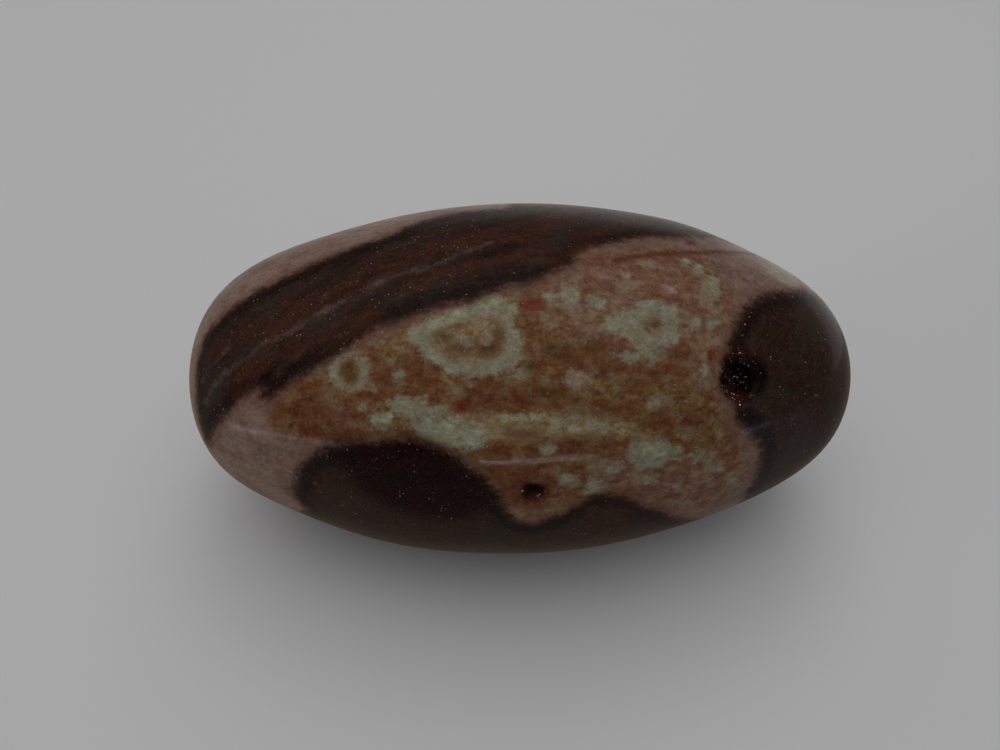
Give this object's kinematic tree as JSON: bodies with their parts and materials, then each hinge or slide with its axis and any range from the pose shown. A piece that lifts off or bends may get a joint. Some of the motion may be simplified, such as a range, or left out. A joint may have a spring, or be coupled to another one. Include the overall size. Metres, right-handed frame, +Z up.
{
  "type": "shiva lingam stone",
  "caption": "Long oval river stone rubbed to a satin polish, banded in maroon, tan and mint, with small round pits, lying on a small worn flat.",
  "frame": {"origin": "middle of the stone's box, on the surface it lies on", "axes": "+X along the length towards the end with the large pit, -Y the side with the pits, +Z up from the resting flat"},
  "size_m": [0.075, 0.0404, 0.0398],
  "materials": {
    "stone": "satin, hand-rubbed jasper and sandstone with maroon bands, tan ground and mint clots"
  },
  "bodies": {
    "root": {"stone": "stone"}
  },
  "joints": []
}
